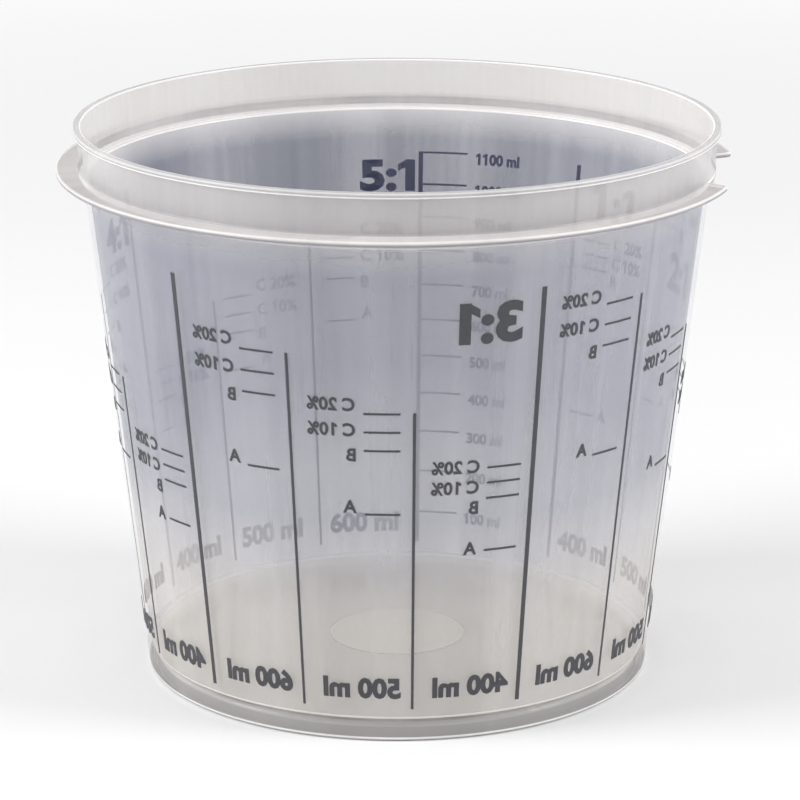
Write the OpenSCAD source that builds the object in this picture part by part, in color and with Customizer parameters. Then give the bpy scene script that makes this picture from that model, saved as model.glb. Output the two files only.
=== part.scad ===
// Resin mixing cup. A thin tapered cup is moulded in one piece, and the volume scale and five
// mixing-ratio scales are printed on the outside of its wall, to be read from inside.
// Origin: centre of the foot ring, on the table. +Z is up, and the 3:1 scale faces -Y.

/* [Cup] */
// Height from the table to the rim
cup_h = 122; // [104:1:170]
// Outside diameter of the wall where its slope meets the table
base_d = 111; // [92:1:140]
// Slope of the wall from the vertical, in degrees
draft_deg = 6.43; // [4:0.01:12]
// Thickness of the wall, measured level
wall_t = 1; // [0.8:0.1:1.6]

/* [Floor and foot] */
// Height of the floor's upper face above the table
floor_z = 4.7; // [3.5:0.1:8]
// Thickness of the floor
floor_t = 1.2; // [0.8:0.1:1.8]
// Width of the flat on the foot ring that stands on the table
foot_w = 0.8; // [0.5:0.1:2]
// Radius of the heel, outside
heel_r = 1; // [0.5:0.1:2]
// Radius between the foot ring and the underside of the floor
foot_fillet = 0.8; // [0.3:0.1:1.5]
// Radius of the gate pad, where the floor is thicker
pad_r = 15; // [8:0.5:25]
// How far the gate pad stands out of the floor, above and below
pad_step = 0.25; // [0.1:0.05:0.5]
// Radius of the gate mark under the pad
gate_r = 1.6; // [1:0.1:3]
// How far the gate mark stands out of the pad
gate_h = 0.4; // [0.2:0.1:0.8]

/* [Collar] */
// Height of the rim above the flange's upper face
collar_h = 9; // [6:0.1:14]
// Slope of the collar from the vertical, in degrees
collar_draft_deg = 2.5; // [1:0.1:4]
// How far the collar steps out of the wall at its lower end
collar_step = 0.85; // [0.5:0.05:1.2]
// Height of the collar's skirt below the flange
skirt_h = 1.5; // [1:0.1:3]
// Height of the slope between the skirt and the wall
step_h = 0.7; // [0.4:0.1:1.2]
// How far the lid bead stands out of the collar
bead_w = 0.85; // [0.5:0.05:1.2]
// Height of the lid bead
bead_h = 1.1; // [0.9:0.1:2]
// Radius on the edges of the bead and on the rim inside
rim_edge_r = 0.25; // [0.1:0.05:0.35]

/* [Flange] */
// How far the flange stands out of the collar
flange_w = 4.9; // [3:0.1:8]
// Thickness of the flange
flange_t = 1.1; // [0.9:0.1:2.5]
// Radius on the two edges of the flange
flange_edge_r = 0.3; // [0.1:0.05:0.4]
// Radius between the flange and the collar, above and below
flange_fillet = 0.45; // [0.2:0.05:0.8]
// Width of the lift gap in the flange, across its tips
gap_w = 33; // [20:1:44]
// Angle at which each side of the gap opens outwards, in degrees
gap_flare_deg = 30; // [0:1:40]
// Radius on the two corners of the gap
gap_corner_r = 1.5; // [0.5:0.1:2]
// Direction of the middle of the gap, in degrees from +X
gap_az = -6; // [-20:1:20]
// Stub of the flange that the gap leaves on the collar
gap_stub = 0.15; // [0.1:0.05:0.4]

/* [Print] */
// Thickness of the ink
ink_t = 0.1; // [0.05:0.05:0.2]
// Width of a thin upright rule
rule_w = 0.62; // [0.4:0.02:1]
// Width of the thick rule that opens a scale
thick_rule_w = 1.05; // [0.8:0.05:1.6]
// Height of a tick
tick_h = 0.44; // [0.3:0.02:0.8]
// Height of the lower end of every rule
rule_foot_z = 7.6; // [6:0.1:12]
// Clear height between the highest mark and the slope under the collar
print_margin = 5; // [3:0.5:8]
// Step between the columns of one scale, in degrees
column_step = 23.5; // [21:0.5:23.5]
// Width of a batch tick, in degrees
tick_sweep = 6.8; // [4:0.1:8]
// Gap from the middle of a rule to its batch ticks, in degrees
tick_gap = 2.6; // [1.5:0.1:4]
// Direction of the volume scale, in degrees from +X
volume_az = 85.2; // [80:0.1:90]
// Room from the volume scale's rule to the first rule of the 1:1 scale, in degrees
volume_room = 34.2; // [28:0.1:36]
// Width of a tick on the volume scale, in degrees
volume_tick_sweep = 9; // [6:0.5:10]
// Millilitres between two ticks of the volume scale
volume_step = 100; // [50:50:200]

/* [Hidden] */
$fn = 180;

// Millilitres of resin in the batches that a mixing scale serves, one column each
batches = [400, 500, 600];
// Share of thinner that the two highest marks of a column add to a batch
thinner_shares = [0.1, 0.2];
plastic = [0.78, 0.79, 0.85, 0.6];
ink_grey = [0.2, 0.21, 0.23];

draft = tan(draft_deg);
stretch = sqrt(1 + draft * draft);
collar_draft = tan(collar_draft_deg);
collar_stretch = sqrt(1 + collar_draft * collar_draft);

underside_z = floor_z - floor_t;
foot_outer_r = wall_r(0) - heel_r * (stretch - draft);
foot_inner_r = foot_outer_r - foot_w;

flange_top = cup_h - collar_h;
flange_bottom = flange_top - flange_t;
skirt_z = flange_bottom - skirt_h;
step_foot_z = skirt_z - step_h;
// the ledge inside lies higher than the slope outside, so that the step is as thick as the wall
ledge_z = skirt_z + 0.3 * wall_t;
flange_r = collar_r(flange_top) + flange_w;
bead_r = collar_r(cup_h) + bead_w;

// Radius of the wall's outer and inner face, and of the collar's, at a height
function wall_r(z) = base_d / 2 + draft * z;
function wall_bore_r(z) = wall_r(z) - wall_t;
function collar_r(z) = wall_r(skirt_z) + collar_step + collar_draft * (z - skirt_z);
function collar_bore_r(z) = collar_r(z) - wall_t;

// The resin fills a cone's frustum, so its volume goes by the cube of the radius: millilitres up
// to a height, and the height of a number of millilitres
function volume_at(z) = (pow(wall_bore_r(z), 3) - pow(wall_bore_r(floor_z), 3))
                        * PI / (3 * draft) / 1000;
function level(ml) = floor_z + (pow(pow(wall_bore_r(floor_z), 3) + 3 * draft * ml * 1000 / PI,
                                    1 / 3) - wall_bore_r(floor_z)) / draft;

top_ml = volume_step * floor(volume_at(step_foot_z - print_margin) / volume_step);

// Marks of a column, in millilitres: the resin, then with its hardener, then with the thinner
function with_hardener(batch, parts) = batch * (1 + 1 / parts);
function marks(batch, parts) = concat([batch, with_hardener(batch, parts)],
    [for (share = thinner_shares) with_hardener(batch, parts) + share * batch]);

// The columns stand all round the cup. The 5:1 scale begins anticlockwise of the volume scale, the
// other scales follow it down to 2:1, and the 1:1 scale fills the room that is left.
function columns_in(parts) = parts == 1 ? 2 : 3;
function first_az(parts) = parts == 1 ? volume_az - volume_room
                                      : volume_az + column_step * 3 * (6 - parts);
// The smallest batch is always printed. The others are, if their highest mark is on the scale.
function is_printed(batch, parts) = batch == batches[0] || max(marks(batch, parts)) <= top_ml;

// Level bar from radius r0 to r1, from height z up, with both outer edges rounded
module rounded_bar(r0, r1, z, t, edge_r) {
    translate([r0, z]) square([r1 - edge_r - r0, t]);
    translate([r0, z + edge_r]) square([r1 - r0, t - 2 * edge_r]);
    for (edge_z = [z + edge_r, z + t - edge_r]) translate([r1 - edge_r, edge_z]) circle(edge_r);
}

// Fillet between the collar and a level face at height z, above the face (side 1) or below (-1).
// Its arc dips a little into the collar, so that the two outlines cross instead of touching.
module collar_fillet(z, side) {
    dip = 0.003;
    centre_z = z + side * flange_fillet;
    centre_r = collar_r(centre_z) + flange_fillet * collar_stretch - dip;
    root_r = collar_r(centre_z) - wall_t / 2;
    difference() {
        translate([root_r, min(z, centre_z)]) square([centre_r - root_r, flange_fillet]);
        translate([centre_r, centre_z]) circle(flange_fillet);
    }
}

// Corner outside the heel's arc, which touches the table and the wall
module heel_corner() {
    reach = heel_r + 1;
    difference() {
        polygon([[foot_outer_r, heel_r], [foot_outer_r, -1], [wall_r(0) + 1, -1],
                 [foot_outer_r + reach / stretch, heel_r - reach * draft / stretch]]);
        translate([foot_outer_r, heel_r]) circle(heel_r);
    }
}

// Wall from the foot ring to the rim: it steps out under the flange and goes on as the collar
module wall_section() {
    rim_bore_r = collar_bore_r(cup_h);
    difference() {
        polygon([[foot_inner_r, 0], [wall_r(0), 0], [wall_r(step_foot_z), step_foot_z],
                 [collar_r(skirt_z), skirt_z], [collar_r(cup_h), cup_h],
                 [rim_bore_r + rim_edge_r, cup_h],
                 [collar_bore_r(cup_h - rim_edge_r), cup_h - rim_edge_r],
                 [collar_bore_r(ledge_z), ledge_z], [wall_bore_r(ledge_z), ledge_z],
                 [wall_bore_r(underside_z), underside_z], [foot_inner_r, underside_z]]);
        heel_corner();
    }
    translate([rim_bore_r + rim_edge_r, cup_h - rim_edge_r]) circle(rim_edge_r);
}

// Floor above the table, with the gate pad, the gate mark and a fillet to the foot ring
module floor_section() {
    pad_z = underside_z - pad_step;
    fillet_centre = [foot_inner_r - foot_fillet, underside_z - foot_fillet];
    translate([0, underside_z]) square([wall_r(underside_z) - wall_t / 2, floor_t]);
    translate([0, pad_z]) square([pad_r, floor_t + 2 * pad_step]);
    translate([0, pad_z - gate_h]) square([gate_r, gate_h + floor_t / 2]);
    difference() {
        translate(fillet_centre) square(foot_fillet);
        translate(fillet_centre) circle(foot_fillet);
    }
}

// What a corner of the gap loses to its radius. The arc touches the gap's side and the flange's
// outer edge, so its centre lies that radius away from both. The cut reaches a little into the
// gap, so that no sliver stays between the two.
module gap_corner() {
    overlap = 0.2;
    along = [cos(gap_flare_deg), sin(gap_flare_deg)];
    across = [-along[1], along[0]];
    tip = [sqrt(pow(flange_r, 2) - pow(gap_w / 2, 2)), gap_w / 2];
    start = tip + gap_corner_r * across;
    back = start * along;
    centre = start + along * (sqrt(back * back - start * start + pow(flange_r - gap_corner_r, 2))
                              - back);
    rim_touch = centre * flange_r / (flange_r - gap_corner_r);
    difference() {
        polygon([centre, centre - (gap_corner_r + overlap) * across,
                 tip + along - overlap * across, rim_touch * 1.02]);
        translate(centre) circle(gap_corner_r);
    }
}

// Lift gap, cut through the flange and its fillets to a stub on the collar, which stays whole
module lift_gap() {
    cut_z = flange_bottom - 2 * flange_fillet;
    cut_t = flange_t + 4 * flange_fillet;
    inner_x = wall_r(0);
    outer_x = flange_r + 2;
    tip_x = sqrt(pow(flange_r, 2) - pow(gap_w / 2, 2));
    inner_y = gap_w / 2 - (tip_x - inner_x) * tan(gap_flare_deg);
    outer_y = gap_w / 2 + (outer_x - tip_x) * tan(gap_flare_deg);
    difference() {
        rotate([0, 0, gap_az]) translate([0, 0, cut_z]) linear_extrude(cut_t) {
            polygon([[inner_x, -inner_y], [outer_x, -outer_y], [outer_x, outer_y],
                     [inner_x, inner_y]]);
            gap_corner();
            mirror([0, 1]) gap_corner();
        }
        cylinder(h = cup_h, r1 = collar_r(0) + gap_stub, r2 = collar_r(cup_h) + gap_stub);
    }
}

module cup_moulding() {
    color(plastic)
    difference() {
        rotate_extrude() {
            wall_section();
            floor_section();
            rounded_bar(collar_r(flange_top) - wall_t / 2, flange_r, flange_bottom, flange_t,
                        flange_edge_r);
            collar_fillet(flange_top, 1);
            collar_fillet(flange_bottom, -1);
            rounded_bar(collar_r(cup_h) - wall_t / 2, bead_r, cup_h - bead_h, bead_h, rim_edge_r);
        }
        lift_gap();
    }
}

// Patch of ink on the wall, between two heights and two directions
module ink(z0, z1, az0, az1) {
    rotate([0, 0, az0]) rotate_extrude(angle = az1 - az0)
        polygon([[wall_r(z0), z0], [wall_r(z0) + ink_t, z0],
                 [wall_r(z1) + ink_t, z1], [wall_r(z1), z1]]);
}

// Half of a rule's width in degrees: a rule follows the cone, so its width is taken at its top
function half_rule(top_z, width) = width / wall_r(top_z) * 90 / PI;

module rule(az, top_z, width) {
    half = half_rule(top_z, width);
    ink(rule_foot_z, top_z, az - half, az + half);
}

// Tick that ends at a direction, with its upper edge at a height
module tick(az_end, sweep, z) {
    ink(z - tick_h, z, az_end - sweep, az_end);
}

// Mixing scale for a number of parts of resin to one part of hardener. Its first rule is thick and
// as tall as the volume scale, and each other rule ends at the highest mark of its own column.
module mixing_scale(parts) {
    color(ink_grey)
    for (i = [0 : columns_in(parts) - 1]) if (is_printed(batches[i], parts)) {
        az = first_az(parts) - i * column_step;
        column_marks = [for (ml = marks(batches[i], parts)) if (ml <= top_ml) ml];
        top_z = level(i == 0 ? top_ml : max(column_marks));
        rule(az, top_z, i == 0 ? thick_rule_w : rule_w);
        for (ml = column_marks) tick(az - tick_gap, tick_sweep, level(ml));
    }
}

// Volume scale, whose ticks start a hair's breadth from its rule
module ink_volume_scale() {
    top_z = level(top_ml);
    hair = 0.03;
    tick_az = volume_az - half_rule(top_z, thick_rule_w) - hair;
    color(ink_grey) {
        rule(volume_az, top_z, thick_rule_w);
        for (ml = [volume_step : volume_step : top_ml])
            tick(tick_az, volume_tick_sweep, level(ml));
    }
}

module ink_scale_1_to_1() { mixing_scale(1); }
module ink_scale_2_to_1() { mixing_scale(2); }
module ink_scale_3_to_1() { mixing_scale(3); }
module ink_scale_4_to_1() { mixing_scale(4); }
module ink_scale_5_to_1() { mixing_scale(5); }

cup_moulding();
ink_volume_scale();
ink_scale_1_to_1();
ink_scale_2_to_1();
ink_scale_3_to_1();
ink_scale_4_to_1();
ink_scale_5_to_1();
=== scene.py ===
# %% [markdown]
# A resin mixing cup: a thin tapered cup, moulded in one piece of translucent plastic, with a
# volume scale and five mixing scales printed on the outside of its wall.
# The imported CAD model is the frame that everything is built on, so it is loaded first. Sizes are
# in metres in that frame unless a comment says otherwise: +Z is up, the cup stands on the XY plane
# and the 3:1 scale faces -Y.

# %% Load the frame
import math

import bmesh
import bpy
import numpy as np
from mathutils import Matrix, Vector


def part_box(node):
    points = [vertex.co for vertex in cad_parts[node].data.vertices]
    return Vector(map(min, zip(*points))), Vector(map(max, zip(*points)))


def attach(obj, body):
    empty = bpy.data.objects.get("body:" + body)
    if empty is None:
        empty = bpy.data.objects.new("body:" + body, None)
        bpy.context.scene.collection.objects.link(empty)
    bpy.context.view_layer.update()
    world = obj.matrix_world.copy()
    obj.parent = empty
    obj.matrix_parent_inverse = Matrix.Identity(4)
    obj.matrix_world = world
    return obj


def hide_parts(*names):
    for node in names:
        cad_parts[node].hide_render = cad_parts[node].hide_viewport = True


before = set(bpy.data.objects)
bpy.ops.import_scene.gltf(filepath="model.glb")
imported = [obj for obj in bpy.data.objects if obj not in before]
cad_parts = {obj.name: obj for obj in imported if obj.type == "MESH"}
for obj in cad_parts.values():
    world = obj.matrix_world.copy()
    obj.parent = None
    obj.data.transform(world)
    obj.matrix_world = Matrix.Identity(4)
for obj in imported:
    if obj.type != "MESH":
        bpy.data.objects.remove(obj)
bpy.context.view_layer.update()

mm = 0.001

# %% [markdown]
# The camera stands where the photographer stood: about 0.8 m in front of the cup and 0.3 m above
# the table, looking 16 degrees down through a long lens. A long lens keeps the two ends of the
# cup's wall nearly straight, as in the photograph. Its place was found from the rings of the rim,
# flange, floor and foot. The whole picture fits without a lens shift.

# %% Place the camera
LOOK_DOWN = 16.239  # degrees
TURN = -0.045  # degrees
camera_data = bpy.data.cameras.new("photo_camera")
camera_data.sensor_width = 36.0
camera_data.lens = 172.13
camera_data.clip_end = 50
camera = bpy.data.objects.new("photo_camera", camera_data)
camera.location = (0.0, -0.8113, 0.2953)
camera.rotation_euler = (math.radians(90 - LOOK_DOWN), 0.0, math.radians(TURN))
bpy.context.scene.collection.objects.link(camera)
bpy.context.scene.camera = camera
print("camera", LOOK_DOWN, "degrees down, lens", round(camera_data.lens, 2), "mm")

# %% [markdown]
# Both shaders and geometry are node trees, and long node trees are hard to read as code. Two
# small helpers keep them readable. A Wire wraps one socket, and arithmetic on wires adds Math
# nodes, so a formula is written as a formula. make() adds any other node: its settings go in
# first, because they decide which sockets it has, and then its values or links.

# %% Helpers for node trees
class Wire:
    """One socket of a node tree, to do arithmetic with."""

    def __init__(self, socket):
        self.socket = socket
        self.tree = socket.id_data

    def maths(self, operation, *others):
        """A Math node that takes this wire first."""
        return make(self.tree, "ShaderNodeMath", {"operation": operation}, self, *others)

    def maths_after(self, operation, first):
        """A Math node that takes this wire second, for a number minus or over a wire."""
        return make(self.tree, "ShaderNodeMath", {"operation": operation}, first, self)

    def __add__(self, other): return self.maths("ADD", other)
    def __sub__(self, other): return self.maths("SUBTRACT", other)
    def __mul__(self, other): return self.maths("MULTIPLY", other)
    def __truediv__(self, other): return self.maths("DIVIDE", other)
    def __rsub__(self, other): return self.maths_after("SUBTRACT", other)
    def __rtruediv__(self, other): return self.maths_after("DIVIDE", other)
    __radd__ = __add__
    __rmul__ = __mul__


def make(tree, kind, settings=None, *values, output=None, **named):
    """Adds a node and returns the wire of its first live output, or of those named in output."""
    node = tree.nodes.new(kind)
    for name, value in (settings or {}).items():
        setattr(node, name, value)
    by_name = {}
    for socket in reversed([socket for socket in node.inputs if socket.enabled]):
        by_name[socket.name] = socket
    pairs = list(zip(node.inputs, values))
    pairs += [(by_name[name.replace("_", " ")], value) for name, value in named.items()]
    for socket, value in pairs:
        if isinstance(value, Wire):
            tree.links.new(value.socket, socket)
        else:
            socket.default_value = value
    outputs = [socket for socket in node.outputs if socket.enabled]
    if output is None:
        return Wire(outputs[0]) if outputs else None
    found = [Wire(next(s for s in outputs if s.name == name)) for name in output.split(",")]
    return found[0] if len(found) == 1 else found


# %% [markdown]
# A geometry tree takes a simple mesh and named sizes, and gives back the finished shape. The
# modifier's inputs are set by each socket's identifier before the first evaluation. The result
# is turned into a plain mesh at once and the modifier goes with the simple mesh, so the piece
# that rides on the frame is only vertices and faces.

# %% Helpers for geometry trees
SOCKET_KINDS = {float: "NodeSocketFloat", bpy.types.Object: "NodeSocketObject",
                bpy.types.Material: "NodeSocketMaterial"}


def start_tree(name, sizes):
    """A geometry tree with one named input for each size. Returns the tree and its input wires."""
    tree = bpy.data.node_groups.new(name, "GeometryNodeTree")
    tree.interface.new_socket("Geometry", in_out="OUTPUT", socket_type="NodeSocketGeometry")
    tree.interface.new_socket("Geometry", in_out="INPUT", socket_type="NodeSocketGeometry")
    for label, value in sizes.items():
        kind = next(k for t, k in SOCKET_KINDS.items() if isinstance(value, t))
        tree.interface.new_socket(label, in_out="INPUT", socket_type=kind)
    group_input = tree.nodes.new("NodeGroupInput")
    return tree, {s.name: Wire(s) for s in group_input.outputs if s.name}


def end_tree(tree, geometry, material):
    """Ends a tree as the export needs it: no instances left, and the material set."""
    real = make(tree, "GeometryNodeRealizeInstances", None, Geometry=geometry)
    smooth = make(tree, "GeometryNodeSetShadeSmooth", None, Geometry=real)
    done = make(tree, "GeometryNodeSetMaterial", None, Geometry=smooth, Material=material)
    group_output = tree.nodes.new("NodeGroupOutput")
    tree.links.new(done.socket, group_output.inputs[0])


def grow(name, base, tree, sizes):
    """Runs a tree on a base object and returns the result as a plain object of its own."""
    modifier = base.modifiers.new("grow", "NODES")
    modifier.node_group = tree
    for item in tree.interface.items_tree:
        if item.in_out == "INPUT" and item.name in sizes:
            modifier[item.identifier] = sizes[item.name]
    graph = bpy.context.evaluated_depsgraph_get()
    mesh = bpy.data.meshes.new_from_object(base.evaluated_get(graph))
    base.modifiers.remove(modifier)
    bpy.data.objects.remove(base)
    mesh.name = name
    piece = bpy.data.objects.new(name, mesh)
    bpy.context.scene.collection.objects.link(piece)
    print(name, len(mesh.vertices), "vertices", len(mesh.polygons), "faces")
    return piece


def plain_object(name, vertices, edges=(), faces=()):
    """A mesh object from lists, to be the base of a geometry tree."""
    mesh = bpy.data.meshes.new(name)
    mesh.from_pydata(vertices, edges, faces)
    base = bpy.data.objects.new(name, mesh)
    bpy.context.scene.collection.objects.link(base)
    return base


# %% [markdown]
# The sizes of the cup. The wall is a cone: its radius grows with the height by a fixed draft.
# The collar above the wall is a steeper cone that starts a step further out. A shallow disc in the
# middle of the floor surrounds the gate, the spot where the plastic ran into the mould. The
# overall height and the flange's radius are read from the frame, so they can't drift from the CAD.

# %% Sizes of the moulding
cup_low, cup_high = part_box("cup_moulding")
RIM_Z = cup_high.z
FLANGE_R = -cup_low.y
DRAFT = math.tan(math.radians(6.43))
COLLAR_DRAFT = math.tan(math.radians(2.5))
FOOT_R = 55.5 * mm
WALL_T = 1.0 * mm
FLOOR_Z = 4.7 * mm
UNDERSIDE_Z = 3.5 * mm
FOOT_INNER_R = 53.806 * mm
FLOOR_FLAT_R = 54.6 * mm
GATE_R, GATE_Z = 1.6 * mm, 2.85 * mm
DISC_R, DISC_UNDER_Z, DISC_TOP_Z = 15.0 * mm, 3.25 * mm, 4.95 * mm
SKIRT_Z = 110.4 * mm
STEP_FOOT_Z = 109.7 * mm
LEDGE_Z = 110.7 * mm
FLANGE_Z = (111.9 * mm, 113.0 * mm)
BEAD_R = 70.148 * mm
BEAD_FOOT_Z = RIM_Z - 1.1 * mm
GAP_DIRECTION = math.radians(-6)
GAP_HALF = 16.5 * mm
GAP_FLARE = math.radians(30)
INK_T = 0.1 * mm


def wall_r(z):
    return FOOT_R + DRAFT * z


def collar_r(z):
    return wall_r(SKIRT_Z) + 0.85 * mm + COLLAR_DRAFT * (z - SKIRT_Z)


print("rim", round(RIM_Z / mm, 2), "mm high, flange radius", round(FLANGE_R / mm, 2), "mm")

# %% [markdown]
# The cup is one turned shape apart from the gap in its flange, so it is described by its section:
# half of a cut through the cup, from the middle of the underside, up the outside, over the rim,
# down the inside and back to the middle of the floor. Each corner has a radius, and a number for
# how much it glows: light that is caught between the faces of clear plastic leaves at its edges,
# so rounded edges look bright. The wall's outer face is drawn a hair inside the CAD face, so
# that the ink, which lies on that face, always stays in front of it.

# %% Section of the cup
HAIR = 0.012 * mm


def corner(r, z, fillet, glow=0.0):
    """A corner from its radius and height in metres. The section is drawn in millimetres."""
    return r / mm, z / mm, fillet, glow


section = [
    corner(0.0, GATE_Z, 0.0), corner(GATE_R, GATE_Z, 0.15, 0.3),
    corner(GATE_R, DISC_UNDER_Z, 0.15), corner(DISC_R, DISC_UNDER_Z, 0.12, 0.5),
    corner(DISC_R, UNDERSIDE_Z, 0.12), corner(FOOT_INNER_R, UNDERSIDE_Z, 0.8, 0.2),
    corner(FOOT_INNER_R, 0.0, 0.2, 0.9), corner(wall_r(0) - HAIR, 0.0, 1.0, 1.0),
    corner(wall_r(STEP_FOOT_Z) - HAIR, STEP_FOOT_Z, 0.3, 0.1),
    corner(collar_r(SKIRT_Z), SKIRT_Z, 0.3, 0.3),
    corner(collar_r(FLANGE_Z[0]), FLANGE_Z[0], 0.45),
    corner(FLANGE_R, FLANGE_Z[0], 0.3, 0.1), corner(FLANGE_R, FLANGE_Z[1], 0.3, 0.5),
    corner(collar_r(FLANGE_Z[1]), FLANGE_Z[1], 0.45),
    corner(collar_r(BEAD_FOOT_Z), BEAD_FOOT_Z, 0.12, 0.2),
    corner(BEAD_R, BEAD_FOOT_Z, 0.25, 1.0), corner(BEAD_R, RIM_Z, 0.25, 0.5),
    corner(collar_r(RIM_Z) - WALL_T, RIM_Z, 0.25, 1.0),
    corner(collar_r(LEDGE_Z) - WALL_T, LEDGE_Z, 0.3, 0.2),
    corner(wall_r(LEDGE_Z) - WALL_T, LEDGE_Z, 0.3, 1.0),
    corner(wall_r(FLOOR_Z) - WALL_T, FLOOR_Z, 0.7, 0.9),
    corner(DISC_R, FLOOR_Z, 0.12, 0.2), corner(DISC_R, DISC_TOP_Z, 0.12, 0.9),
    corner(0.0, DISC_TOP_Z, 0.0),
]
SKIRT_FOOT, UNDER_ROOT, UNDER_EDGE, TOP_ROOT, RIM_INSIDE = 9, 10, 11, 13, 17


def rounded_section(corners, arc_steps=5, hold=0.16, longest=7.0):
    """Rounds each corner and puts a row of points close to each arc, which keeps the flat faces
    flat under smooth shading. Returns points as (radius, height, glow, place), where place
    counts the corners passed."""
    points = []
    for i, (r, z, fillet, glow) in enumerate(corners):
        here = Vector((r, z))
        if fillet == 0:
            points.append((r, z, 0.0, float(i)))
            continue
        back = (Vector(corners[i - 1][:2]) - here).normalized()
        ahead = (Vector(corners[i + 1][:2]) - here).normalized()
        half = back.angle(ahead) / 2
        reach = fillet / math.tan(half)
        centre = here + (back + ahead).normalized() * (fillet / math.sin(half))
        first, last = here + back * reach, here + ahead * reach
        start = (first - centre).angle_signed(last - centre)
        points.append((*(first + back * hold), 0.0, i - 0.3))
        for k in range(arc_steps + 1):
            turn = -start * k / arc_steps
            arm = first - centre
            spun = Vector((arm.x * math.cos(turn) - arm.y * math.sin(turn),
                           arm.x * math.sin(turn) + arm.y * math.cos(turn)))
            points.append((*(centre + spun), glow, i + 0.1 * k / arc_steps))
        points.append((*(last + ahead * hold), 0.0, i + 0.3))
    filled = [points[0]]
    for a, b in zip(points, points[1:]):
        pieces = max(1, math.ceil(math.dist(a[:2], b[:2]) / longest))
        for k in range(1, pieces + 1):
            filled.append(tuple(u + (v - u) * k / pieces for u, v in zip(a, b)))
    return filled


outline = rounded_section(section)
print("section of", len(outline), "points")

# %% [markdown]
# The material needs to know where on the cup it is, so each point of the section carries numbers
# from 0 to 1: how much it glows, and how far it is on the inside, in the collar, on the flange,
# in the painted shadow under the flange or in the floor. The last number, root, is a radius: that
# at which the flange grows out of the collar. With it the tree below can draw the flange in where
# the lid is lifted.

# %% Section as a mesh with its numbers
base_section = plain_object("section", [(r * mm, 0.0, z * mm) for r, z, glow, place in outline],
                            edges=[(i, i + 1) for i in range(len(outline) - 1)])
numbers = {name: [] for name in ("glow", "inside", "collar", "flange", "under", "floor", "root")}
for r, z, glow, place in outline:
    on_flange = UNDER_ROOT + 0.05 < place < TOP_ROOT + 0.05
    # only the flange's top face takes the pale flange colour: partly painted light on the face
    # that looks up
    on_top = on_flange and place > UNDER_EDGE + 0.4 and r > collar_r(z * mm) / mm + 0.3
    on_skirt = SKIRT_FOOT - 0.4 < place < SKIRT_FOOT + 0.9
    above_step = z - STEP_FOOT_Z / mm - 0.2
    numbers["glow"].append(glow)
    numbers["inside"].append(float(place > RIM_INSIDE))
    numbers["collar"].append(min(max(above_step / 0.7, 0.0), 1.0))
    numbers["flange"].append(1.0 if on_top else 0.5 * on_skirt)
    # the underside and lower edge of the flange carry a painted shadow
    numbers["under"].append(float(UNDER_ROOT - 0.05 < place < UNDER_EDGE + 0.2))
    numbers["floor"].append(float(z < FLOOR_Z / mm + 0.5 and r < FLOOR_FLAT_R / mm))
    numbers["root"].append(min(r * mm, collar_r(z * mm)) if on_flange else r * mm)
for name, values in numbers.items():
    attribute = base_section.data.attributes.new(name, "FLOAT", "POINT")
    attribute.data.foreach_set("value", values)

# %% [markdown]
# The section could be turned with a Screw modifier, but then the gap would need a boolean cut,
# which leaves ragged triangles that show on glossy plastic. A geometry tree turns it instead: a
# grid with one column of points for each direction round the cup. The directions are counted from
# the middle of the gap, and are closer together at its two sides, where the flange ends.

# %% Directions round the cup
GAP_SIDE_DIRECTIONS = np.arange(10.6, 15.0, 0.14)  # degrees
even = np.linspace(0, 360, 241)
degrees = np.unique(np.round(
    np.concatenate([even, GAP_SIDE_DIRECTIONS, 360 - GAP_SIDE_DIRECTIONS]), 3))
directions = plain_object("directions", [(math.radians(a), 0.0, 0.0) for a in degrees])
print(len(degrees), "directions")

# %% [markdown]
# Each point of the grid knows only its own number. That number divided by the length of a column
# gives its column, and so its direction, and what is left gives its row, and so its place on the
# section. The tree looks both up in the two simple meshes.

# %% Grid of the turned section
turn_sizes = {"Directions": directions, "Gap direction": GAP_DIRECTION, "Gap half width": GAP_HALF,
              "Gap flare": math.tan(GAP_FLARE), "Flange radius": FLANGE_R,
              "Collar radius": collar_r(FLANGE_Z[1]), "Least reach": 0.03, "Corner softness": 0.5}
turn_sizes["Plastic"] = bpy.data.materials.new("cup_plastic")
turn_tree, size = start_tree("turned_moulding", turn_sizes)
guide = make(turn_tree, "GeometryNodeObjectInfo", None, Object=size["Directions"],
             output="Geometry")
guide_count = make(turn_tree, "GeometryNodeAttributeDomainSize", None, Geometry=guide)
section_count = make(turn_tree, "GeometryNodeAttributeDomainSize", None,
                     Geometry=size["Geometry"])
sheet = make(turn_tree, "GeometryNodeMeshGrid", None, Vertices_X=guide_count,
             Vertices_Y=section_count, output="Mesh")
index = make(turn_tree, "GeometryNodeInputIndex")
column = (index + 0.5) / section_count
column = column.maths("FLOOR")
row = index - column * section_count


def look_up(geometry, value, at, kind="FLOAT"):
    return make(turn_tree, "GeometryNodeSampleIndex", {"data_type": kind}, Geometry=geometry,
                Value=value, Index=at)


def number_of(name):
    value = make(turn_tree, "GeometryNodeInputNamedAttribute", {"data_type": "FLOAT"}, Name=name)
    return look_up(size["Geometry"], value, row)


place = make(turn_tree, "GeometryNodeInputPosition")
section_r, _, section_z = make(turn_tree, "ShaderNodeSeparateXYZ", None,
                               look_up(size["Geometry"], place, row, "FLOAT_VECTOR"),
                               output="X,Y,Z")
turned = make(turn_tree, "ShaderNodeSeparateXYZ", None,
              look_up(guide, place, column, "FLOAT_VECTOR"), output="X")
print("grid of", len(degrees), "by", len(outline), "points")

# %% [markdown]
# The gap's two sides are straight and flare outwards. A direction near the gap meets the side's
# line at the radius edge, and the flange reaches as far as that: 0 is drawn in to the collar and
# 1 is whole. So the gap's side is made by the flange's own rounded edge. A soft minimum rounds
# the corner. Past the gap's sides the flange is whole, so the angle stops growing there.

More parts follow.
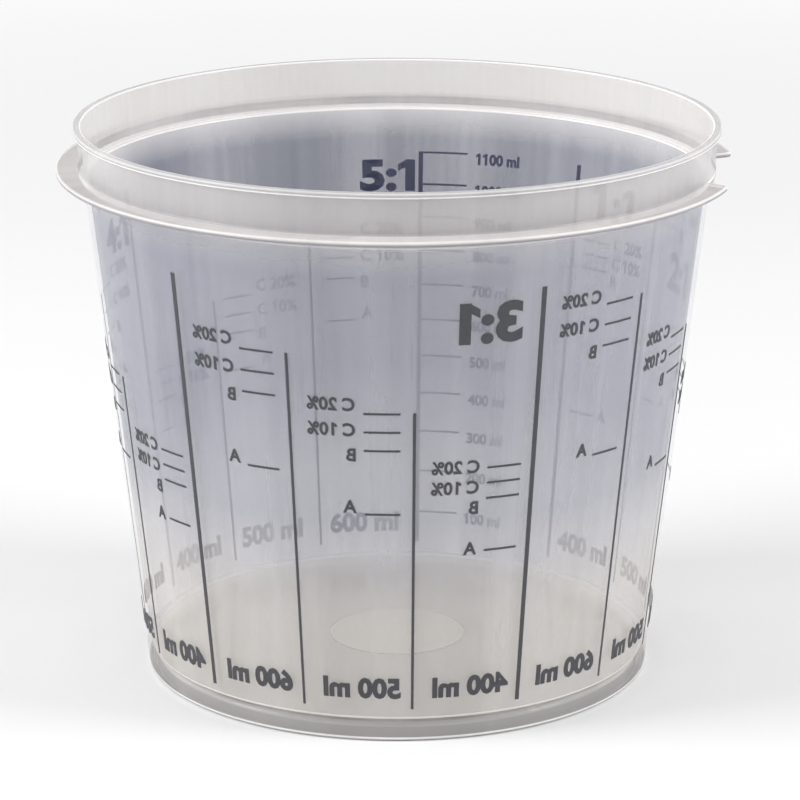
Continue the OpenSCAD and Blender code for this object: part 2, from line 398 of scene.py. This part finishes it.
# %% Flange drawn in at the gap
PAST_GAP = math.radians(20)
away = turned.maths("MINIMUM", 2 * math.pi - turned)
near = away.maths("MINIMUM", PAST_GAP)
tip = (size["Flange radius"] * size["Flange radius"]
       - size["Gap half width"] * size["Gap half width"])
tip = tip.maths("SQRT")
slope = size["Gap flare"]
edge = ((slope * tip - size["Gap half width"])
        / (slope * near.maths("COSINE") - near.maths("SINE")))
reach = (edge - size["Collar radius"]) / (size["Flange radius"] - size["Collar radius"])
reach = reach.maths("SMOOTH_MIN", 1.0, size["Corner softness"])
reach = reach.maths("MAXIMUM", size["Least reach"])
print("the gap is", round(2 * GAP_HALF / mm, 1), "mm wide at the flange's edge")

# %% [markdown]
# Now every point gets its place, and the section's numbers for the plastic to read. Merging closes
# the two middles and the seam where the first direction meets the last.

# %% Turn the section
root = number_of("root")
radius = root + (section_r - root) * reach
bearing = turned + size["Gap direction"]
spot = make(turn_tree, "ShaderNodeCombineXYZ", None, radius * bearing.maths("COSINE"),
            radius * bearing.maths("SINE"), section_z)
shape = make(turn_tree, "GeometryNodeSetPosition", None, Geometry=sheet, Position=spot)
for name in ("glow", "inside", "collar", "flange", "under", "floor"):
    shape = make(turn_tree, "GeometryNodeStoreNamedAttribute",
                 {"data_type": "FLOAT", "domain": "POINT"}, Geometry=shape, Name=name,
                 Value=number_of(name))
shape = make(turn_tree, "GeometryNodeMergeByDistance", None, Geometry=shape, Distance=1e-6)
end_tree(turn_tree, shape, size["Plastic"])
cup = grow("moulded_cup", base_section, turn_tree, turn_sizes)
bpy.data.objects.remove(directions)

# %% [markdown]
# The finish of the moulding. Polypropylene is clear when it is thin and milky where it is thick,
# with a satin shine. Glass with a rough inside would be closest to the physics, but it is noisy
# to render, and two walls of it hide the print behind them. See-through film is used instead:
# each face lets part of the view through, and the rest is a scatter of light in its own colour.
# The patterns come first. Flow marks run as the plastic ran, outwards from the gate and up the
# wall, fine ones and broad ones. Clouds stand for uneven milkiness and peel for the fine texture
# of the mould. Each of them reads the place on the piece, or the direction from its axis.

# %% Patterns in the plastic
def distance_from_axis(x, y):
    square = x * x + y * y
    return square.maths("SQRT")


plastic = turn_sizes["Plastic"]
plastic.use_nodes = True
tree = plastic.node_tree
tree.nodes.clear()
coords = make(tree, "ShaderNodeTexCoord", None, output="Object")
x, y, z = make(tree, "ShaderNodeSeparateXYZ", None, coords, output="X,Y,Z")
spread = distance_from_axis(x, y) + 0.001
flow_place = make(tree, "ShaderNodeCombineXYZ", None, x / spread * 9, y / spread * 9, z * 6)
flow = make(tree, "ShaderNodeTexNoise", None, Vector=flow_place, Scale=2.2, Detail=3.0)
thick = make(tree, "ShaderNodeTexNoise", None, Vector=flow_place, Scale=0.35, Detail=1.0)
cloud = make(tree, "ShaderNodeTexNoise", None, Vector=coords, Scale=28.0, Detail=2.0)
peel = make(tree, "ShaderNodeTexNoise", None, Vector=coords, Scale=420.0, Detail=1.0)
glow, inside, collar, flange, under, floor = (
    make(tree, "ShaderNodeAttribute", {"attribute_name": name}, output="Fac")
    for name in ("glow", "inside", "collar", "flange", "under", "floor"))
outside = 1 - inside
streaks = 1 - floor * 0.9
print("plastic reads", len(numbers) - 1, "numbers of the section")

# %% [markdown]
# The colours. The photograph was taken before something dark, which was cut away later, so the
# wall looks dark blue through the mouth and grey from outside. Before a white background, plain
# white plastic would lose that. So the inner face is painted dark, a painted shade for that dark
# background, and the outer face pale. Where the wall nears the floor both get painted light, warm
# and pale. The collar is the other way round: its inner face is painted light, as it catches the
# light. Under the flange and on the foot the plastic is painted dark, a painted shadow. Thin
# layers of colour are laid over each other, each with its own amount from 0 to 1, and the last one
# paints light on the rounded edges.

# %% Colours of the plastic
def blend(tree, amount, first, second):
    """Mixes two colours. Each is a wire or four numbers."""
    return make(tree, "ShaderNodeMix", {"data_type": "RGBA", "clamp_factor": True},
                Factor=amount, A=first, B=second)


def ramp(measure, start, end):
    """A number that goes from 0 where the measure is start to 1 where it is end."""
    part = (measure - start) / (end - start)
    part = part.maths("MAXIMUM", 0)
    return part.maths("MINIMUM", 1)


low = ramp(z, 0.050, 0.026)
# the foot below the floor gets a painted shade
foot = ramp(z, 0.0050, 0.0042)
heel = ramp(z, 0.0006, 0.0003)
# painted shade: the inner face is dark for the dark background seen through the mouth, and the
# outer face is pale
shade = blend(tree, inside, (0.80, 0.80, 0.84, 1), (0.024, 0.038, 0.110, 1))
# painted light on the collar: its inner face is pale where it catches the light, and its outer
# face is darker
ring = blend(tree, inside, (0.52, 0.505, 0.505, 1), (0.96, 0.915, 0.90, 1))
layers = [
    # painted light: both faces of the wall turn warm and pale near the floor
    (outside * low * 0.9, (0.93, 0.89, 0.84, 1)),
    (inside * low * 0.7, (0.66, 0.62, 0.565, 1)),
    (collar, ring),
    # the flange's top face is pale: partly the milkiness of the thicker plastic, partly painted
    # light on the face that looks up
    (flange, (0.97, 0.915, 0.89, 1)),
    (floor, (0.96, 0.895, 0.80, 1)),
    # painted shade on the band of the foot below the floor
    (foot * 0.7, (0.26, 0.26, 0.275, 1)),
    # painted shadow under the flange
    (under, (0.16, 0.16, 0.19, 1)),
    (cloud * 0.12, (0.55, 0.55, 0.60, 1)),
    (glow * (1 - heel), (0.95, 0.94, 0.93, 1)),
]
for amount, colour in layers:
    shade = blend(tree, amount, shade, colour)
print(len(layers), "layers of colour")

# %% [markdown]
# The next question is how much of the view each face holds back. The wall's outer face holds back
# a quarter and its inner face more, but less near the floor. The collar, the flange and the floor
# are thicker and so more solid, and so are rounded edges. The patterns make it all a little
# uneven, apart from the floor, where flow marks that meet in the middle would look like a fan.
# The shine is that of a satin mould, a little glossier on the floor, with a faint bump.

# %% Solidity and shine of the plastic
inner_wall = inside * (1 - collar) * (1 - floor)
solid = 0.27 + inner_wall * (0.34 - low * 0.25) - outside * low * 0.05
solid = solid + collar * (1 - flange) * 0.24 + flange * 0.25 + floor * 0.5 + under * 0.5
solid = solid + foot * (1 - floor) * 0.15 + glow * 0.45
solid = solid + ((flow - 0.5) * 0.16 + (thick - 0.5) * 0.4) * streaks + (cloud - 0.5) * 0.1
solid = solid.maths("MINIMUM", 0.95)
rough = 0.2 + (cloud - 0.5) * 0.12 + collar * 0.1 - floor * 0.11
bump = make(tree, "ShaderNodeBump", None, Strength=0.06, Distance=0.0002,
            Height=peel + flow * streaks)
skin = make(tree, "ShaderNodeBsdfPrincipled", None, Base_Color=shade, Roughness=rough,
            Alpha=solid, IOR=1.5, Specular_IOR_Level=0.6, Normal=bump)
make(tree, "ShaderNodeOutputMaterial", None, skin)
print("plastic has", len(tree.nodes), "nodes")

# %% [markdown]
# Ink that is screen printed on plastic is matt, very dark grey and not quite even: it is a
# little thinner in places, which shows as a faint mottle and a shallow grain.

# %% Ink
ink = bpy.data.materials.new("scale_ink")
ink.use_nodes = True
tree = ink.node_tree
tree.nodes.clear()
coords = make(tree, "ShaderNodeTexCoord", None, output="Object")
mottle = make(tree, "ShaderNodeTexNoise", None, Vector=coords, Scale=900.0, Detail=3.0)
patch = make(tree, "ShaderNodeTexNoise", None, Vector=coords, Scale=120.0, Detail=2.0)
shade = blend(tree, mottle * 0.5 + patch * 0.4, (0.028, 0.029, 0.034, 1), (0.075, 0.077, 0.086, 1))
grain = make(tree, "ShaderNodeBump", None, Strength=0.2, Distance=0.00005, Height=mottle)
film = make(tree, "ShaderNodeBsdfPrincipled", None, Base_Color=shade,
            Roughness=0.5 + patch * 0.15, Normal=grain)
make(tree, "ShaderNodeOutputMaterial", None, film)

printed = [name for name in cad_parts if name.startswith("ink_")]
for name in printed:
    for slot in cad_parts[name].material_slots:
        slot.material = ink
print("ink on", len(printed), "nodes")

# %% [markdown]
# The marks follow from the cup's own inside. The resin fills a cone's frustum, so its volume
# goes by the cube of the radius, and the height of a volume is found in closed form. A column
# of a mixing scale has four marks: A for the resin, B with its hardener, and C 10% and C 20%
# with the thinner. The lettering below stands beside the ticks that the frame already has.

# %% Heights of the marks
def level(ml):
    """The height in metres at which the cup holds so many millilitres."""
    floor_r = wall_r(FLOOR_Z) - WALL_T
    cube = floor_r ** 3 + 3 * DRAFT * ml * 1e-6 / math.pi
    return FLOOR_Z + (cube ** (1 / 3) - floor_r) / DRAFT


def marks(batch, parts):
    """The volume of each mark of a column, for a batch of resin and parts of it to one."""
    full = batch * (1 + 1 / parts)
    return {"A": batch, "B": full, "C 10%": full + 0.1 * batch, "C 20%": full + 0.2 * batch}


VOLUME_AZ = 85.2
COLUMN_STEP = 23.5
ONE_TO_ONE_STEP = 34.2
TOP_ML = 1100
first_az = {parts: VOLUME_AZ + COLUMN_STEP * 3 * (6 - parts) for parts in (2, 3, 4, 5)}
first_az[1] = VOLUME_AZ - ONE_TO_ONE_STEP
print("400 ml stands", round(level(400) / mm, 2), "mm high")

# %% [markdown]
# The lettering is bold and narrow. Blender's own font is drawn bolder by an offset and pressed
# together. It draws a 1 as a plain bar, so a small block is added to each as its flag. Each text
# is made a flat mesh once, with the thickness of the ink.

# %% Letters
DIGIT_HEIGHT = 0.682
BAR_WIDTH = 0.098


def plain_letters(text, weight):
    """A text as a closed mesh one unit thick, as the font draws it."""
    curve = bpy.data.curves.new("letters", "FONT")
    curve.body, curve.offset, curve.extrude = text, weight, 0.5
    curve.resolution_u = 3
    holder = bpy.data.objects.new("letters", curve)
    bpy.context.scene.collection.objects.link(holder)
    graph = bpy.context.evaluated_depsgraph_get()
    mesh = bpy.data.meshes.new_from_object(holder.evaluated_get(graph))
    bpy.data.objects.remove(holder)
    work = bmesh.new()
    work.from_mesh(mesh)
    bmesh.ops.remove_doubles(work, verts=work.verts, dist=1e-5)
    points = np.array([v.co for v in work.verts])
    faces = [[v.index for v in f.verts] for f in work.faces]
    work.free()
    bpy.data.meshes.remove(mesh)
    return points, faces


def letter_mesh(text, weight):
    """The same from x = 0, with a flag on each 1."""
    points, faces = plain_letters(text, weight)
    top = DIGIT_HEIGHT + weight
    for i, letter in enumerate(text):
        if letter == "1":
            bar = plain_letters(text[:i + 1], weight)[0][:, 0].max() - BAR_WIDTH - 2 * weight
            flag = [(bar + 0.03, top), (bar - 0.14, top - 0.12), (bar - 0.14, top - 0.28),
                    (bar + 0.03, top - 0.18)]
            first = len(points)
            points = np.vstack([points, [(x, y, z) for z in (-0.5, 0.5) for x, y in flag]])
            faces += [[first + k for k in (3, 2, 1, 0)], [first + k for k in (4, 5, 6, 7)]]
            faces += [[first + k, first + (k + 1) % 4, first + 4 + (k + 1) % 4, first + 4 + k]
                      for k in range(4)]
    points[:, 0] -= points[:, 0].min()
    return points, faces


CAPITAL = np.ptp(letter_mesh("H", 0.02)[0][:, 1])
print("a capital is", round(float(CAPITAL), 3), "high as the font draws it")

# %% [markdown]
# The texts of one scale are laid out on an unrolled wall, where x is the direction in radians,
# y the height and z the distance out of the wall. The print reads from inside the cup, so it runs
# towards smaller angles, and from outside it is mirrored.

# %% Unrolled wall
class Sheet:
    """The unrolled wall of one scale, which collects its texts."""

    def __init__(self):
        self.points, self.faces = [], []

    def write(self, text, az, foot_z, height, model, model_width, weight=0.045):
        """Writes from a direction in degrees, with its foot at a height. All sizes in metres.
        The letters are as narrow as in the model text, whose width is given."""
        points, faces = letter_mesh(text, weight)
        width = model_width * np.ptp(points[:, 0]) / np.ptp(letter_mesh(model, weight)[0][:, 0])
        across = points[:, 0] / np.ptp(points[:, 0]) * width
        up = points[:, 1] / CAPITAL * height
        r = wall_r(foot_z + height / 2)
        first = sum(len(p) for p in self.points)
        self.points.append(np.stack([math.radians(az) - across / r, foot_z + up,
                                     (0.5 - points[:, 2]) * INK_T], -1))
        self.faces += [[first + i for i in face] for face in faces]


# %% [markdown]
# Each tick has its label past its end. The labels don't stand level with their ticks: in each
# column the upper ones are spread a little apart, as on the real cup. The batch size stands at
# the foot of its column, and the ratio beside the thick rule of its scale. The numbers of a title
# are its direction in degrees and its foot, height and width in millimetres. The 3:1 and 5:1
# titles are where the photograph shows them, and the others follow their pattern.

# %% Write the scales
GAP_TO_TICK, TICK, GAP_TO_LABEL = 2.6, 6.8, 1.55  # degrees
LABEL_H, LABEL_W, LABEL_WEIGHT = 2.8 * mm, 10.1 * mm, 0.03
BATCH_AWAY, BATCH_FOOT, BATCH_H, BATCH_W = 2.45, 10.3 * mm, 4.4 * mm, 16.5 * mm
VOLUME_LABEL_AZ, VOLUME_H, VOLUME_W = 73.9, 2.5 * mm, 10.7 * mm
lift = {400: {"C 20%": 0.3, "C 10%": -0.9, "B": -2.1, "A": 0.5},
        500: {"C 20%": 1.8, "C 10%": 0.3, "B": -1.1, "A": 1.5}}
lift[600] = lift[500]
titles = {5: (97.6, 91.5, 6.9, 13.0), 4: (168.1, 88.5, 7.0, 13.0), 3: (-67.2, 89.8, 8.3, 13.6),
          2: (20.0, 79.5, 8.0, 13.0), 1: (47.0, 89.0, 8.0, 13.4)}
sheets = {}
for parts in (1, 2, 3, 4, 5):
    sheet = sheets[f"lettering_{parts}_to_1"] = Sheet()
    for i, batch in enumerate([400, 500, 600][:2 if parts == 1 else 3]):
        az = first_az[parts] - i * COLUMN_STEP
        for text, ml in marks(batch, parts).items():
            if ml <= TOP_ML:
                middle = level(ml) + lift[batch][text] * mm
                sheet.write(text, az - (GAP_TO_TICK + TICK + GAP_TO_LABEL), middle - LABEL_H / 2,
                            LABEL_H, "C 20%", LABEL_W, weight=LABEL_WEIGHT)
        sheet.write(f"{batch} ml", az - BATCH_AWAY, BATCH_FOOT, BATCH_H, "600 ml", BATCH_W)
volume = sheets["lettering_volume"] = Sheet()
for ml in range(100, TOP_ML + 1, 100):
    volume.write(f"{ml} ml", VOLUME_LABEL_AZ, level(ml) - VOLUME_H, VOLUME_H, "1100 ml", VOLUME_W)
for parts, (az, foot_z, height, width) in titles.items():
    title = f"{parts}:1"
    sheets[f"lettering_{parts}_to_1"].write(title, az, foot_z * mm, height * mm, title, width * mm)
print(sum(len(sheet.points) for sheet in sheets.values()), "texts on", len(sheets), "sheets")

# %% [markdown]
# Letters that are only turned into place stay flat, and their edges stand off a curved wall. A
# geometry tree wraps the whole unrolled wall onto the cone instead, so each letter follows the
# wall exactly, and its ink has the same thickness all over.

# %% Tree that wraps a sheet onto the cone
wrap_sizes = {"Foot radius": FOOT_R, "Draft": DRAFT, "Ink": ink}
wrap_tree, size = start_tree("wrap_on_cone", wrap_sizes)
place = make(wrap_tree, "GeometryNodeInputPosition")
az, height, out = make(wrap_tree, "ShaderNodeSeparateXYZ", None, place, output="X,Y,Z")
radius = size["Foot radius"] + size["Draft"] * height + out
spot = make(wrap_tree, "ShaderNodeCombineXYZ", None, radius * az.maths("COSINE"),
            radius * az.maths("SINE"), height)
shape = make(wrap_tree, "GeometryNodeSetPosition", None, Geometry=size["Geometry"], Position=spot)
end_tree(wrap_tree, shape, size["Ink"])
lettering = []
for name, sheet in sheets.items():
    base = plain_object(name + "_flat", np.concatenate(sheet.points).tolist(), faces=sheet.faces)
    piece = grow(name, base, wrap_tree, wrap_sizes)
    for polygon in piece.data.polygons:
        polygon.use_smooth = False
    lettering.append(piece)

# %% [markdown]
# Every piece rides on the one body of the frame. The turned cup stands for the CAD moulding,
# which stays in the physics model. The CAD ink stays as it is, with the ink finish.

# %% Ride on the frame
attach(cup, "root")
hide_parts("cup_moulding")
for piece in lettering:
    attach(piece, "root")
print(1 + len(lettering), "pieces ride on root")

# %% [markdown]
# The studio is a plain pale floor under soft, even light. The light comes mostly from all round,
# as in a light tent, with a large soft lamp on each side that draws the highlights. To a ray that
# looks at it, the floor fades to the white of the air half a metre and more from the cup, so no
# horizon shows. A small floor would show its edge instead, and more light would wash out the
# cup. The floor still lights the cup as pale card does, because light isn't a looking ray.

# %% Floor of the studio
FADE_FROM, FADE_TO = 0.45, 1.0
FLOOR_HALF = 20
BELOW_CUP = -0.05 * mm


def looking(tree):
    """1 for a ray from the camera, a gloss or a clear body, and 0 for one that carries light."""
    seen = sum(make(tree, "ShaderNodeLightPath", None, output="Is Camera Ray,Is Glossy Ray,"
                    "Is Transmission Ray"), 0.0)
    return seen.maths("MINIMUM", 1)


floor_material = bpy.data.materials.new("studio_floor")
floor_material.use_nodes = True
tree = floor_material.node_tree
tree.nodes.clear()
coords = make(tree, "ShaderNodeTexCoord", None, output="Object")
x, y = make(tree, "ShaderNodeSeparateXYZ", None, coords, output="X,Y")
far = ramp(distance_from_axis(x, y), FADE_FROM, FADE_TO) * looking(tree)
card = make(tree, "ShaderNodeBsdfPrincipled", None, Roughness=0.9, Specular_IOR_Level=0.1,
            Base_Color=blend(tree, far, (0.89, 0.89, 0.895, 1), (0, 0, 0, 1)),
            Emission_Color=blend(tree, far, (0, 0, 0, 1), (1, 1, 1, 1)), Emission_Strength=1.0)
make(tree, "ShaderNodeOutputMaterial", None, card)
corners = [(x * FLOOR_HALF, y * FLOOR_HALF, 0) for x, y in ((-1, -1), (1, -1), (1, 1), (-1, 1))]
studio_floor = plain_object("studio_floor", corners, faces=[(0, 1, 2, 3)])
studio_floor.location.z = BELOW_CUP
studio_floor.data.materials.append(floor_material)
print("the floor fades from", FADE_FROM, "to", FADE_TO, "m")

# %% [markdown]
# The air is an even white light. It is dimmer as a light than it looks, so that pale plastic
# doesn't clip. The two lamps stand to the left and right in front of the cup, the left one a
# little stronger, and large enough that their highlights have soft edges.

# %% Light of the studio
AIR_LIGHT = 0.62
world = bpy.data.worlds.new("studio_air")
bpy.context.scene.world = world
world.use_nodes = True
tree = world.node_tree
tree.nodes.clear()
air = make(tree, "ShaderNodeBackground", None, Color=(1.0, 1.0, 1.0, 1),
           Strength=AIR_LIGHT + looking(tree) * (1 - AIR_LIGHT))
make(tree, "ShaderNodeOutputWorld", None, air)


def add_softbox(name, place, aim, width, height, power):
    data = bpy.data.lights.new(name, "AREA")
    data.shape, data.size, data.size_y, data.energy = "RECTANGLE", width, height, power
    lamp = bpy.data.objects.new(name, data)
    lamp.location = place
    lamp.rotation_mode = "QUATERNION"
    lamp.rotation_quaternion = (Vector(aim) - Vector(place)).to_track_quat("-Z", "Y")
    bpy.context.scene.collection.objects.link(lamp)
    print(name, power, "W")


MIDDLE_OF_CUP = (0, 0, 0.06)
add_softbox("left_softbox", (-1.15, -0.3, 0.7), MIDDLE_OF_CUP, 0.6, 0.9, 13)
add_softbox("right_softbox", (1.15, -0.3, 0.7), MIDDLE_OF_CUP, 0.5, 0.9, 10)

# %% [markdown]
# The settings that make colours come out as they are written, and the last check: the box of
# the finished model beside the box of the CAD model.

# %% Finish
bpy.context.scene.view_settings.view_transform = "Standard"
